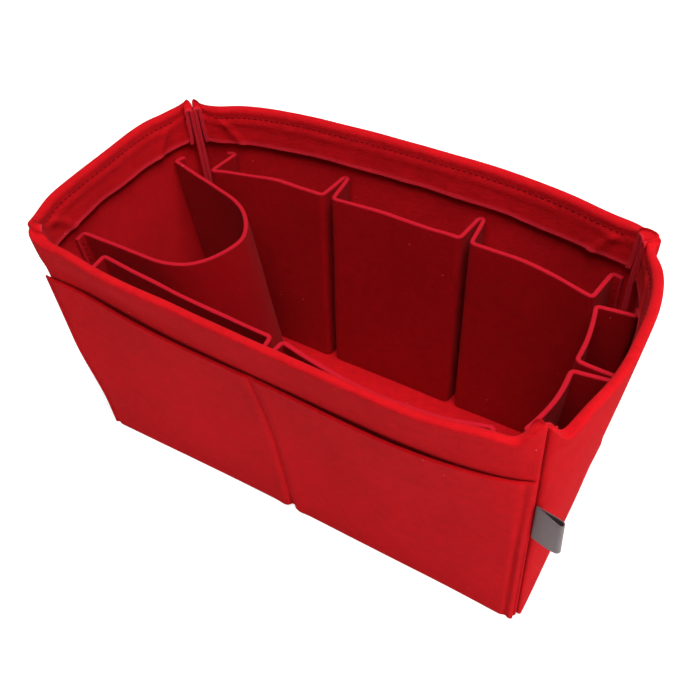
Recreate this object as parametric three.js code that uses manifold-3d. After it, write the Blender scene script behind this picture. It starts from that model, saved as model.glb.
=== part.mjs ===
// A felt organizer insert for a handbag: an open box of four hemmed walls and a base, with pleated
// pocket strips and a bottle holder sewn inside, a flat pocket panel on each long side and a folded
// tape label in one corner seam. Millimetres. X runs along the front to the right, Y to the back and
// Z up. The origin is the middle of the underside.

import * as THREE from 'three';
import Module from 'manifold-3d';

const wasm = await Module();
wasm.setup();

// The sewn box
const box_length = 300; // between the corner seams, along X
const box_depth = 140; // between the corner seams, along Y
const box_height = 170; // base to rim
const wall_felt = 2.5; // thickness of the walls
const base_felt = 2.5; // thickness of the base
const pocket_felt = 2; // thickness of the pockets and the bottle holder
const fit_gap = 0.3; // clearance between two pieces that touch
const sewn_gap = 0.7; // clearance of felt that is sewn flat to a bellied wall

// The open rim bellies out between the corner seams, and the bottom edges stay straight
const front_belly = 21;
const front_belly_place_share = 0.45; // where it is deepest, from the middle to the right seam
const front_left_power = 1.9; // how square the belly is towards the left seam
const front_right_power = 3.5; // and towards the right one
const front_lean_power = 2.2; // how fast the belly dies away towards the base
const back_belly = 24;
const back_left_power = 3.9;
const back_right_power = 3;
const left_belly = 17.5;
const left_power = 4.5;
const right_belly = 19;
const right_power = 2.5;
const lean_power = 1.1; // on every wall but the front
const slope_reach = 0.5; // to each side of a place where a wall's slope is read

// The rim: each wall is folded inwards over the top and stitched
const hem_depth = 25; // rim to the lower edge of the folded band
const hem_gap = 0.4; // between the two layers
const hem_stitch_drop = 7; // rim to the stitch line
const hem_groove = 0.6; // how deep the stitches pull in
const hem_groove_reach = 2; // from the stitch line to where the felt is full again
const rim_steps = 6;
const rim_thickness = 2 * wall_felt + hem_gap;

// The corner seams: both walls turn inwards along the diagonal
const seam_allowance = 11; // corner to the end of the turned-in felt
const seam_round = 3; // how far the felt rounds into the seam valley
const seam_round_reach_share = 1.5; // where the rounding starts, in seam_round
const seam_nose_share = 0.2; // how near the round comes to the corner, in seam_round
const seam_steps = 3;
const cut_over = 20; // how far a cutting body reaches past what it cuts

// Inner pockets: a strip of felt on each wall, pleated back to the wall between its pockets
const pocket_top = 137; // height of every pocket's mouth above the floor
const pocket_depth = 24; // wall to pocket front at the mouth
const pocket_foot_depth = 18; // the same at the base
const pleat_mouth = 7.6; // between two neighbouring pocket fronts
const pleat_foot = 3.2; // the same pleat where it is sewn to the wall
const strip_flange = 6; // end of a strip, sewn flat to the wall
const strip_splay = 3; // how far an end gusset leans outwards to the wall
const sag_place_shares = [0.25, 0.5, 0.75]; // where a slack pocket front bends, along its width
const fold_radius = 2.6; // of a fold in pocket felt

// Where each strip starts, from the corner seam, and how wide its pockets are, as shares of the wall
const back_strip_start = 21;
const back_pocket_shares = [0.27, 0.29, 0.257];
const back_sag_shares = [0, 0, 0];
const front_strip_start = 17;
const front_pocket_shares = [0.423, 0.398];
const front_sag_shares = [0, 0.3];
const end_strip_start = 20;
const end_pocket_shares = [0.322, 0.3];
const end_sag_shares = [0, 0];

// Bottle holder: one strip that stands out from the left end wall as a U
const holder_top = 137;
const holder_front = 34.5; // from the front corner seam to where its front arm meets the wall
const holder_back = 18.5; // from the back corner seam to where its back arm meets the wall
const holder_reach = 94; // from the wall to its nose
const holder_flange = 7;
const holder_nose_side = 1; // the nose's place along Y
const holder_front_share = 0.6; // how far the front arm runs straight, in holder_reach
const holder_back_share = 0.62; // how far the back arm runs straight, in holder_reach
const holder_narrowing = 15; // how much the back arm comes in over its straight run
const holder_arm_handle_share = 0.6; // how straight the arms run on, towards the nose
const holder_nose_handle_share = 0.5; // how broad the nose is, towards each arm
const holder_steps = 8;

// Outer pockets: a flat panel on each long wall, sewn at its edges and down a centre seam
const outer_pocket_top = 140;
const outer_pocket_left_inset = 1; // from the left corner seam
const outer_pocket_right_inset = 5; // from the right corner seam
const outer_seam_share = 0.505; // the centre seam's place along the panel
const outer_mouth_spread = 2; // how far each side edge leans out at the mouth
const outer_mouth_gape = 6.5; // how far the mouth stands open
const outer_gape_power = 3; // how fast the gape dies away downwards

// Tape label: a folded loop caught in the front right corner seam
const label_tape = 0.5; // thickness of the tape
const label_length = 17; // seam to fold
const label_height = 27;
const label_bottom = 86; // lower edge above the floor
const label_neck = 3; // where the two layers part, from the root
const label_swell = 1.7; // how far each layer's outer face stands off the middle line at the fold
const label_steps = 6;
const label_handle_share = 0.4; // how slowly the layers part and meet again, along the label
const label_root = 1.1; // seam corner to the label's root, inwards on each axis
const label_turn = -0.22; // radians from +X, at rest

// How finely curved pieces are faceted
const run_step = 14; // longest straight piece of a run
const height_steps = 5;
const fold_steps = 3;
const long_wall_steps = 24;
const end_wall_steps = 18;
const same_point = 0.03; // points nearer than this are one

// The colours of the felt and the tape
const felt_colour = 0xa90d12;
const pocket_colour = 0x960a10;
const label_colour = 0x7c6f76;
const felt_roughness = 0.95;
const tape_roughness = 0.7;

// How a wall bellies: how far, where along it, how square towards its start and its end, how fast it
// dies away towards the base
function belly(depth, place_share, start_power, end_power, lean) {
  return { depth, place_share, start_power, end_power, lean };
}

// Each wall's frame: which way it runs and faces, half its length, its distance from the middle, its belly
const along_x = new THREE.Vector3(1, 0, 0);
const along_y = new THREE.Vector3(0, 1, 0);
const front_shape = belly(
  front_belly, front_belly_place_share, front_left_power, front_right_power, front_lean_power,
);
const walls = {
  front: longWall(along_y.clone().negate(), front_shape),
  back: longWall(along_y.clone(), belly(back_belly, 0, back_left_power, back_right_power, lean_power)),
  left: endWall(along_x.clone().negate(), belly(left_belly, 0, left_power, left_power, lean_power)),
  right: endWall(along_x.clone(), belly(right_belly, 0, right_power, right_power, lean_power)),
};

function longWall(out, shape) {
  const steps = long_wall_steps;
  return { along: along_x, out, half: box_length / 2, away: box_depth / 2, shape, steps };
}

function endWall(out, shape) {
  const steps = end_wall_steps;
  return { along: along_y, out, half: box_depth / 2, away: box_length / 2, shape, steps };
}

// How far a wall bellies out at a place along it and a height
function bulge(wall, run, height) {
  const { depth, place_share, start_power, end_power, lean } = wall.shape;
  const place = place_share * wall.half;
  const is_before = run < place;
  const share = is_before ? (place - run) / (wall.half + place) : (run - place) / (wall.half - place);
  const rise = Math.max(height, 0) / box_height;
  return depth * (1 - Math.min(share, 1) ** (is_before ? start_power : end_power)) * rise ** lean;
}

// A point beside a wall: along it, inwards from its outer face, and up. The wall's own felt and what
// lies flat on it are measured square to the bellied face, and what stands further in straight across.
function beside(wall, run, inwards, height) {
  const square = Math.min(inwards, rim_thickness);
  const rise = bulge(wall, run + slope_reach, height) - bulge(wall, run - slope_reach, height);
  const slope = rise / (2 * slope_reach);
  const into = wall.along.clone().multiplyScalar(slope).sub(wall.out).normalize();
  return wall.along.clone().multiplyScalar(run)
    .addScaledVector(wall.out, wall.away + bulge(wall, run, height) - (inwards - square))
    .addScaledVector(into, square)
    .setZ(height);
}

// A closed skin through copies of one outline, each placed by its station, with both ends covered
function skin(outline, end_faces, stations, place) {
  const ring = outline.length;
  const points = stations.flatMap((station) => outline.map((point) => place(point, station)));
  const faces = [];
  for (let row = 0; row < stations.length - 1; row += 1) {
    for (let i = 0; i < ring; i += 1) {
      const a = row * ring + i;
      const b = row * ring + ((i + 1) % ring);
      faces.push([a, b, b + ring], [a, b + ring, a + ring]);
    }
  }
  const last = (stations.length - 1) * ring;
  for (const [a, b, c] of end_faces) {
    faces.push([c, b, a], [last + a, last + b, last + c]);
  }
  return closedGeometry(points, faces);
}

// A solid of one flat outline
function loft(flat_outline, stations, place) {
  const outline = THREE.ShapeUtils.isClockWise(flat_outline) ? [...flat_outline].reverse() : flat_outline;
  return skin(outline, THREE.ShapeUtils.triangulateShape(outline, []), stations, place);
}

// A strip of some thickness along its middle line, with its ends covered from step to step
function ribbon(line, thickness, stations, place) {
  const outline = stripOutline(line, thickness);
  const end_faces = line.slice(1).flatMap((_, i) => {
    const across = outline.length - 1 - i;
    return [[i, i + 1, across - 1], [i, across - 1, across]];
  });
  return skin(outline, end_faces, stations, place);
}

// A geometry from points and faces, turned right side out
function closedGeometry(points, faces) {
  const volumes = faces.map(([a, b, c]) => points[a].dot(points[b].clone().cross(points[c])));
  const is_inside_out = volumes.reduce((sum, volume) => sum + volume, 0) < 0;
  const outward = is_inside_out ? faces.map(([a, b, c]) => [a, c, b]) : faces;
  const places = points.flatMap((point) => point.toArray());
  const geometry = new THREE.BufferGeometry();
  geometry.setAttribute('position', new THREE.Float32BufferAttribute(places, 3));
  geometry.setIndex(outward.flat());
  geometry.computeVertexNormals();
  return geometry;
}

function toSolid(geometry) {
  return new wasm.Manifold(new wasm.Mesh({
    numProp: 3,
    vertProperties: new Float32Array(geometry.attributes.position.array),
    triVerts: new Uint32Array(geometry.index.array),
  }));
}

function toGeometry(solid) {
  const mesh = solid.getMesh();
  const geometry = new THREE.BufferGeometry();
  geometry.setAttribute('position', new THREE.BufferAttribute(new Float32Array(mesh.vertProperties), 3));
  geometry.setIndex(new THREE.BufferAttribute(new Uint32Array(mesh.triVerts), 1));
  geometry.computeVertexNormals();
  return geometry;
}

// Evenly spaced numbers from low to high
function spaced(low, high, steps) {
  return Array.from({ length: steps + 1 }, (_, i) => low + ((high - low) * i) / steps);
}

// Numbers from low to high that lie closer together towards both
function closerAtEnds(low, high, steps) {
  const middle = (low + high) / 2;
  const turns = spaced(-Math.PI / 2, Math.PI / 2, steps);
  return turns.map((turn) => middle + ((high - low) / 2) * Math.sin(turn));
}

// The upright section of a hemmed wall: x is inwards from the outer face, y is up
function hemSection(foot) {
  const rim = box_height;
  const roll = rim_thickness / 2;
  const stitch = rim - hem_stitch_drop;
  const section = new THREE.Path();
  section.moveTo(0, foot);
  for (const height of spaced(foot, rim - hem_depth, height_steps).slice(1)) {
    section.lineTo(0, height);
  }
  section.lineTo(0, stitch - hem_groove_reach);
  section.lineTo(hem_groove / 2, stitch);
  section.lineTo(0, stitch + hem_groove_reach);
  section.absarc(roll, rim - roll, roll, Math.PI, 0, true);
  section.lineTo(rim_thickness, stitch + hem_groove_reach);
  section.lineTo(rim_thickness - hem_groove, stitch);
  section.lineTo(rim_thickness, stitch - hem_groove_reach);
  section.lineTo(rim_thickness, rim - hem_depth);
  section.lineTo(wall_felt + hem_gap, rim - hem_depth);
  section.lineTo(wall_felt + hem_gap, rim - rim_thickness);
  section.lineTo(wall_felt, rim - rim_thickness);
  for (const height of spaced(foot, rim - hem_depth, height_steps).reverse()) {
    section.lineTo(wall_felt, height);
  }
  return distinct(section.curves.flatMap((curve) => curve.getPoints(curve.isLineCurve ? 1 : rim_steps)));
}

// The same points without repeats
function distinct(points) {
  return points.filter((point, i) => point.distanceTo(points[(i + 1) % points.length]) > same_point);
}

// The heights at which a body that cuts a bellied wall has its stations
const cut_heights = [-cut_over, ...spaced(0, box_height, height_steps), box_height + cut_over];

// Where a wall's outer face starts to round into the seam valley
function roundStart(wall) {
  return wall.half - seam_round * seam_round_reach_share;
}

// What a wall keeps at its ends, from above: up to the seam plane, its outer edge rounded into the
// valley. A point's z is how much of the belly it follows.
function seamTrim(wall) {
  const outside = wall.shape.depth + cut_over;
  const inside = 2 * rim_thickness;
  const shift = fit_gap / Math.SQRT2;
  const start = new THREE.Vector3(roundStart(wall), 0, 1);
  const nose_follow = seam_nose_share / seam_round_reach_share;
  const nose = new THREE.Vector3(wall.half - seam_round * seam_nose_share, 0, nose_follow);
  const valley = new THREE.Vector3(wall.half - seam_round - shift, seam_round, 0);
  const right = [
    new THREE.Vector3(start.x, -outside, 0),
    ...new THREE.QuadraticBezierCurve3(start, nose, valley).getPoints(seam_steps),
    new THREE.Vector3(wall.half - inside - shift, inside, 0),
  ];
  const left = right.map((point) => new THREE.Vector3(-point.x, point.y, point.z)).reverse();
  return loft([...right, ...left], cut_heights, (point, height) => {
    const follow = point.z * bulge(wall, Math.sign(point.x) * start.x, height);
    return wall.along.clone().multiplyScalar(point.x)
      .addScaledVector(wall.out, wall.away + follow - point.y)
      .setZ(height);
  });
}

// The turned-in felt at one end of a wall, along the diagonal of the corner
function seamTurn(wall, side) {
  const foot = base_felt + fit_gap;
  const inwards = wall.along.clone().multiplyScalar(-side).sub(wall.out).divideScalar(Math.SQRT2);
  const across = wall.along.clone().multiplyScalar(-side).add(wall.out).divideScalar(Math.SQRT2);
  const corner = wall.along.clone().multiplyScalar(side * wall.half).addScaledVector(wall.out, wall.away);
  const turn = loft(hemSection(foot), [0, seam_allowance], (point, reach) => (
    corner.clone()
      .addScaledVector(inwards, reach)
      .addScaledVector(across, fit_gap / 2 + point.x)
      .setZ(point.y)
  ));
  const far = seam_allowance + cut_over;
  const inner = [
    new THREE.Vector2(-far, wall_felt / 2),
    new THREE.Vector2(far, wall_felt / 2),
    new THREE.Vector2(far, far),
    new THREE.Vector2(-far, far),
  ];
  const room = loft(inner, cut_heights, (point, height) => (
    corner.clone()
      .addScaledVector(wall.along, point.x)
      .addScaledVector(wall.out, bulge(wall, side * roundStart(wall), height) - point.y)
      .setZ(height)
  ));
  return toSolid(turn).intersect(toSolid(room));
}

// A wall: hemmed felt from seam to seam with its allowances turned in, trimmed at the seams. Its
// stations lie closer towards the seams, where the belly turns most.
function wallPanel(wall) {
  const reach = wall.half + seam_round;
  const stations = closerAtEnds(-reach, reach, wall.steps);
  const felt = loft(hemSection(0), stations, (point, run) => beside(wall, run, point.x, point.y));
  const turned = toSolid(felt).add(seamTurn(wall, 1)).add(seamTurn(wall, -1));
  return toGeometry(turned.intersect(toSolid(seamTrim(wall))));
}

// The base: one piece of felt inside the foot of the walls
function basePanel() {
  const clear = wall_felt + fit_gap;
  const x = box_length / 2 - clear;
  const y = box_depth / 2 - clear;
  const shape = new THREE.Shape([
    new THREE.Vector2(-x, -y),
    new THREE.Vector2(x, -y),
    new THREE.Vector2(x, y),
    new THREE.Vector2(-x, y),
  ]);
  return new THREE.ExtrudeGeometry(shape, { depth: base_felt, bevelEnabled: false });
}

// The middle line of a strip folded at its corners: straight runs in short steps, a round at each fold
function foldedLine(corners, radius) {
  const line = new THREE.Path();
  line.moveTo(corners[0].x, corners[0].y);
  for (let i = 1; i < corners.length - 1; i += 1) {
    const corner = corners[i];
    const before = corner.distanceTo(corners[i - 1]);
    const after = corner.distanceTo(corners[i + 1]);
    const turn = Math.min(radius, before / 2, after / 2);
    const start = corner.clone().lerp(corners[i - 1], turn / before);
    const end = corner.clone().lerp(corners[i + 1], turn / after);
    line.lineTo(start.x, start.y);
    line.quadraticCurveTo(corner.x, corner.y, end.x, end.y);
  }
  const last = corners[corners.length - 1];
  line.lineTo(last.x, last.y);
  return inShortSteps(line, fold_steps);
}

// The points of a path, with its straight runs in short steps and each of its curves in so many
function inShortSteps(line, curve_steps) {
  const points = line.curves.flatMap((curve) => {
    const straight_steps = Math.max(Math.ceil(curve.getLength() / run_step), 1);
    return curve.getPoints(curve.isLineCurve ? straight_steps : curve_steps);
  });
  return [...distinct(points.slice(0, -1)), points[points.length - 1]];
}

// The outline of a strip of some thickness along its middle line
function stripOutline(line, thickness) {
  const sides = line.map((point, i) => {
    const back = line[Math.max(i - 1, 0)];
    const ahead = line[Math.min(i + 1, line.length - 1)];
    const into = (i === 0 ? ahead.clone().sub(point) : point.clone().sub(back)).normalize();
    const onward = (i === line.length - 1 ? into : ahead.clone().sub(point)).clone().normalize();
    const way = into.clone().add(onward).normalize();
    const half = thickness / 2 / way.dot(into);
    return new THREE.Vector2(-way.y, way.x).multiplyScalar(half);
  });
  const left = line.map((point, i) => point.clone().add(sides[i]));
  const right = line.map((point, i) => point.clone().sub(sides[i]));
  return [...left, ...right.reverse()];
}

// The middle line of felt that lies on the inside of a wall, as a distance from the wall's outer face
const on_wall = wall_felt + sewn_gap + pocket_felt / 2;

// A row of pockets on a wall: one strip that runs out, along each pocket's front and back to the wall
function pocketStrip(wall, start, width_shares, sag_shares) {
  const front = wall_felt + pocket_depth;
  const corners = [];
  let from = start - wall.half;
  width_shares.forEach((width_share, i) => {
    const to = from + width_share * 2 * wall.half;
    const sag = sag_shares[i] * pocket_depth;
    const is_last = i === width_shares.length - 1;
    const foot = i === 0 ? from + strip_splay : from - (pleat_mouth - pleat_foot) / 2;
    const next_foot = is_last ? to + strip_splay : to + (pleat_mouth - pleat_foot) / 2;
    if (i === 0) {
      corners.push(new THREE.Vector2(foot - strip_flange, on_wall));
    }
    corners.push(new THREE.Vector2(foot, on_wall), new THREE.Vector2(from, front));
    for (const share of sag_place_shares.filter(() => sag > 0)) {
      const slack = sag * Math.sin(Math.PI * share);
      corners.push(new THREE.Vector2(from + share * (to - from), front - slack));
    }
    corners.push(new THREE.Vector2(to, front), new THREE.Vector2(next_foot, on_wall));
    if (is_last) {
      corners.push(new THREE.Vector2(next_foot + strip_flange, on_wall));
    }
    from = to + pleat_mouth;
  });
  const heights = spaced(base_felt + fit_gap, pocket_top, height_steps);
  return ribbon(foldedLine(corners, fold_radius), pocket_felt, heights, (point, height) => {
    const depth = pocket_foot_depth + (pocket_depth - pocket_foot_depth) * (height / pocket_top);
    return beside(wall, point.x, on_wall + (point.y - on_wall) * (depth / pocket_depth), height);
  });
}

// The bottle holder: a strip from the left wall round its nose and back, its ends sewn flat to the wall
function bottleHolder() {
  const nose = wall_felt + holder_reach;
  const front = holder_front - walls.left.half;
  const back = walls.left.half - holder_back;
  const front_end = new THREE.Vector2(front, nose * holder_front_share);
  const back_end = new THREE.Vector2(back - holder_narrowing, nose * holder_back_share);
  const line = new THREE.Path();
  line.moveTo(front - holder_flange, on_wall);
  line.lineTo(front - fold_radius, on_wall);
  line.quadraticCurveTo(front, on_wall, front, on_wall + fold_radius);
  line.lineTo(front_end.x, front_end.y);
  const tip = new THREE.Vector2(holder_nose_side, nose);
  const front_handle = new THREE.Vector2(front_end.x, nose);
  const front_pull = front_end.clone().lerp(front_handle, holder_arm_handle_share);
  const front_nose = tip.clone().lerp(front_handle, holder_nose_handle_share);
  line.bezierCurveTo(front_pull.x, front_pull.y, front_nose.x, front_nose.y, tip.x, tip.y);
  const back_foot = new THREE.Vector2(back, on_wall);
  const back_slope = (back_end.x - back_foot.x) / (back_end.y - back_foot.y);
  const back_handle = new THREE.Vector2(back_end.x + back_slope * (nose - back_end.y), nose);
  const back_pull = back_end.clone().lerp(back_handle, holder_arm_handle_share);
  const back_nose = tip.clone().lerp(back_handle, holder_nose_handle_share);
  line.bezierCurveTo(back_nose.x, back_nose.y, back_pull.x, back_pull.y, back_end.x, back_end.y);
  line.lineTo(back + back_slope * fold_radius, on_wall + fold_radius);
  line.quadraticCurveTo(back, on_wall, back + fold_radius, on_wall);
  line.lineTo(back + holder_flange, on_wall);
  const heights = spaced(base_felt + fit_gap, holder_top, height_steps);
  return ribbon(inShortSteps(line, holder_steps), pocket_felt, heights, (point, height) => (
    beside(walls.left, point.x, point.y, height)
  ));
}

// How far an outer pocket stands away from its wall: two bows, one on each side of the centre seam
function gape(run, height, from, seam, to) {
  const share = run < seam ? (run - from) / (seam - from) : (run - seam) / (to - seam);
  const bow = Math.sin(Math.PI * Math.min(Math.max(share, 0), 1));
  return outer_mouth_gape * bow * (height / outer_pocket_top) ** outer_gape_power;
}

// An outer pocket panel on a long wall
function outerPocket(wall) {
  const from = outer_pocket_left_inset - wall.half;
  const to = wall.half - outer_pocket_right_inset;
  const seam = from + (to - from) * outer_seam_share;
  const away = -sewn_gap - pocket_felt / 2;
  const left_half = closerAtEnds(from, seam, long_wall_steps / 2);
  const right_half = closerAtEnds(seam, to, long_wall_steps / 2);
  const line = [...left_half, ...right_half.slice(1)].map((run) => new THREE.Vector2(run, away));
  const heights = spaced(0, outer_pocket_top, height_steps);
  return ribbon(line, pocket_felt, heights, (point, height) => {
    const rise = (height / outer_pocket_top) ** outer_gape_power;
    const spread = (outer_mouth_spread * rise * (point.x - seam)) / (to - seam);
    return beside(wall, point.x + spread, point.y - gape(point.x, height, from, seam, to), height);
  });
}

// A bar with a round fold at its far end, from a root at so much out from the middle line
function foldedBar(root, root_half, swell, over) {
  const bend = label_length - label_swell;
  const pull = (bend - root) * label_handle_share;
  const side = new THREE.Path();
  side.moveTo(root, root_half);
  side.bezierCurveTo(root + pull, root_half, bend - pull, swell, bend, swell);
  side.absarc(bend, 0, swell, Math.PI / 2, 0, true);
  const upper = distinct(side.getPoints(label_steps));
  const lower = upper.slice(0, -1).map((point) => new THREE.Vector2(point.x, -point.y)).reverse();
  return toSolid(loft([...upper, ...lower], [-over, label_height + over], (point, height) => (
    new THREE.Vector3(point.x, point.y, height)
  )));
}

// The tape label: a loop whose two ends lie flat together at its root and part towards the fold. The
// root is at the mesh's own origin.
function sideLabel() {
  const loop = foldedBar(0, label_tape, label_swell, 0);
  const opening = foldedBar(label_neck, fit_gap / 2, label_swell - label_tape, cut_over);
  return toGeometry(loop.subtract(opening));
}

function felt(colour) {
  return new THREE.MeshStandardMaterial({ color: colour, roughness: felt_roughness, metalness: 0 });
}

function tape() {
  return new THREE.MeshStandardMaterial({ color: label_colour, roughness: tape_roughness, metalness: 0 });
}

const organizer = new THREE.Group();

function addPiece(name, geometry, material) {
  const mesh = new THREE.Mesh(geometry, material);
  mesh.name = name;
  organizer.add(mesh);
  return mesh;
}

addPiece('base_panel', basePanel(), felt(felt_colour));
addPiece('front_panel', wallPanel(walls.front), felt(felt_colour));
addPiece('back_panel', wallPanel(walls.back), felt(felt_colour));
addPiece('left_end_panel', wallPanel(walls.left), felt(felt_colour));
addPiece('right_end_panel', wallPanel(walls.right), felt(felt_colour));

const back_strip = pocketStrip(walls.back, back_strip_start, back_pocket_shares, back_sag_shares);
const front_strip = pocketStrip(walls.front, front_strip_start, front_pocket_shares, front_sag_shares);
const end_strip = pocketStrip(walls.right, end_strip_start, end_pocket_shares, end_sag_shares);
addPiece('back_pocket_strip', back_strip, felt(pocket_colour));
addPiece('front_pocket_strip', front_strip, felt(pocket_colour));
addPiece('end_pocket_strip', end_strip, felt(pocket_colour));
addPiece('bottle_holder', bottleHolder(), felt(pocket_colour));

addPiece('front_outer_pocket', outerPocket(walls.front), felt(felt_colour));
addPiece('back_outer_pocket', outerPocket(walls.back), felt(felt_colour));

const label = addPiece('side_label', sideLabel(), tape());
label.position.set(box_length / 2 - label_root, -box_depth / 2 + label_root, label_bottom);
label.rotation.z = label_turn;

export default organizer;
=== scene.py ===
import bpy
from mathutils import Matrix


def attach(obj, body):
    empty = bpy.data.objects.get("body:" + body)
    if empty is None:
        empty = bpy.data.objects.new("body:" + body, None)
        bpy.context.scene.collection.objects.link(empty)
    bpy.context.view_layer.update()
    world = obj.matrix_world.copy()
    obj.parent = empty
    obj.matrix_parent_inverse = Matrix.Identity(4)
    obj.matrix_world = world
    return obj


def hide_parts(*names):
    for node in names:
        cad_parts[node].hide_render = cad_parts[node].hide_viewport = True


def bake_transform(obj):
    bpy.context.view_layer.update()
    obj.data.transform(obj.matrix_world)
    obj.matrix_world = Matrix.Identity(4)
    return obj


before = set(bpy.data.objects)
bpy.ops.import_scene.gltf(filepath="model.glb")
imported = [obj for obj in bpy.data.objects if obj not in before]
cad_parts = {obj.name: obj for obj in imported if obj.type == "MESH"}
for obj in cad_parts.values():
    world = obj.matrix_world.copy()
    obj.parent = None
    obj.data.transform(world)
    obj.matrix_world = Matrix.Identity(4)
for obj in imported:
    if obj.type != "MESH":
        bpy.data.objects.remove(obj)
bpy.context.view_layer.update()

import functools
import math

import bmesh
import bpy
from mathutils import Matrix, Vector, noise

# CAMERA, LIGHTS AND TABLE
# The insert stands on a plain white table. The camera looks down over its front right corner. One soft lamp
# hangs over it, and two stand low beside it, the stronger on the right, so that the right end is brightest.
camera_place = Vector((0.20421, -0.28618, 0.44923))
camera_right = Vector((0.85555, 0.51393, -0.06260))
camera_up = Vector((-0.33829, 0.64646, 0.68385))
camera_lens = 43.15
sensor_width = 36


def add_object(name, data):
    thing = bpy.data.objects.new(name, data)
    bpy.context.scene.collection.objects.link(thing)
    return thing


def mesh_object(name, bm, finish):
    mesh = bpy.data.meshes.new(name)
    bm.to_mesh(mesh)
    bm.free()
    mesh.materials.append(finish)
    return add_object(name, mesh)


camera_data = bpy.data.cameras.new("camera")
camera_data.lens = camera_lens
camera_data.sensor_width = sensor_width
camera = add_object("camera", camera_data)
camera_turn = Matrix((camera_right, camera_up, camera_right.cross(camera_up))).transposed()
camera.matrix_world = Matrix.Translation(camera_place) @ camera_turn.to_4x4()
bpy.context.scene.camera = camera
bpy.context.scene.view_settings.view_transform = "Standard"


def add_lamp(name, place, aim, size, power):
    lamp_data = bpy.data.lights.new(name, "AREA")
    lamp_data.shape = "DISK"
    lamp_data.size = size
    lamp_data.energy = power
    turn = (aim - place).to_track_quat("-Z", "Y").to_matrix().to_4x4()
    add_object(name, lamp_data).matrix_world = Matrix.Translation(place) @ turn


insert_middle = Vector((0, 0, 0.085))
add_lamp("lamp_over", Vector((0.21, -0.10, 1.10)), insert_middle, size=0.85, power=18.5)
add_lamp("lamp_right", Vector((1.22, -0.30, 0.13)), insert_middle, size=0.24, power=9.6)
add_lamp("lamp_left", Vector((-0.70, -1.30, 0.14)), insert_middle, size=0.26, power=4.7)

table_size = 6
table_colour = (0.66, 0.66, 0.66, 1)
table_lift_share = 0.68  # how much of the white the table gives by itself, so that its shadow stays faint
room_white = (1, 1, 1, 1)
sky_level = 0.09


def set_inputs(node, **values):
    """Gives a shader node's inputs their values, each by its name with an underscore for a space."""
    for name, value in values.items():
        node.inputs[name.replace("_", " ")].default_value = value
    return node


def add_math(tree, operation, first, second):
    node = tree.nodes.new("ShaderNodeMath")
    node.operation = operation
    for socket, value in zip(node.inputs, (first, second)):
        if isinstance(value, (int, float)):
            socket.default_value = value
        else:
            tree.links.new(value, socket)
    return node.outputs[0]


def seen_directly(tree):
    """One for Light Path's rays that show a surface as itself: straight, in a gloss or through glass."""
    path = tree.nodes.new("ShaderNodeLightPath").outputs
    straight_or_gloss = add_math(tree, "MAXIMUM", path["Is Camera Ray"], path["Is Glossy Ray"])
    return add_math(tree, "MAXIMUM", straight_or_gloss, path["Is Transmission Ray"])


world = bpy.data.worlds.new("soft_room")
bpy.context.scene.world = world
world.use_nodes = True
room_tree = world.node_tree
room_tree.nodes.clear()
sky = set_inputs(room_tree.nodes.new("ShaderNodeBackground"), Color=room_white, Strength=sky_level)
backdrop = set_inputs(room_tree.nodes.new("ShaderNodeBackground"), Color=room_white)
room = room_tree.nodes.new("ShaderNodeMixShader")
room_out = room_tree.nodes.new("ShaderNodeOutputWorld")
room_tree.links.new(seen_directly(room_tree), room.inputs["Fac"])
room_tree.links.new(sky.outputs[0], room.inputs[1])
room_tree.links.new(backdrop.outputs[0], room.inputs[2])
room_tree.links.new(room.outputs[0], room_out.inputs["Surface"])

table_finish = bpy.data.materials.new("white_table")
table_finish.use_nodes = True
table_tree = table_finish.node_tree
table_tree.nodes.clear()
table_matt = set_inputs(table_tree.nodes.new("ShaderNodeBsdfDiffuse"), Color=table_colour)
table_glow = table_tree.nodes.new("ShaderNodeEmission")
table_lift = add_math(table_tree, "MULTIPLY", seen_directly(table_tree), table_lift_share)
table_sum = table_tree.nodes.new("ShaderNodeAddShader")
table_out = table_tree.nodes.new("ShaderNodeOutputMaterial")
table_tree.links.new(table_lift, table_glow.inputs["Strength"])
table_tree.links.new(table_matt.outputs[0], table_sum.inputs[0])
table_tree.links.new(table_glow.outputs[0], table_sum.inputs[1])
table_tree.links.new(table_sum.outputs[0], table_out.inputs["Surface"])
table_bm = bmesh.new()
bmesh.ops.create_grid(table_bm, x_segments=1, y_segments=1, size=table_size / 2)
table = mesh_object("table", table_bm, table_finish)

# BASE PANEL
# One flat rectangle of needled felt, cut to lie inside the foot of the four walls. Its cut edges are soft
# and a little paler, where the knife has opened the fibres.
felt_colour = (0.450, 0.0046, 0.0080, 1)
cut_colour = (0.520, 0.016, 0.030, 1)
lint_colour = (0.75, 0.22, 0.24, 1.0)
sheen_tint = (1.0, 0.42, 0.44, 1.0)
fibre_turns = ((0.3, 0.5, 0.2), (1.1, -0.4, 1.3), (-0.7, 1.2, 2.1))  # the three ways that fibres lie
fibre_scale = (260, 1900, 1900)  # long one way and fine the other two
cut_round = 0.0006  # the rounding of a cut edge
cut_reach = 0.0011  # how far the paler cut shows
cut_margin = 1.2  # a vertex counts as cut this many roundings from the edge
felt_bump = 0.0005
felt_bump_strength = 0.7
box_length = 0.300  # between the corner seams
box_depth = 0.140
wall_felt = 0.0025
base_felt = 0.0025
fit_gap = 0.0003
base_step = 0.004
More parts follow.
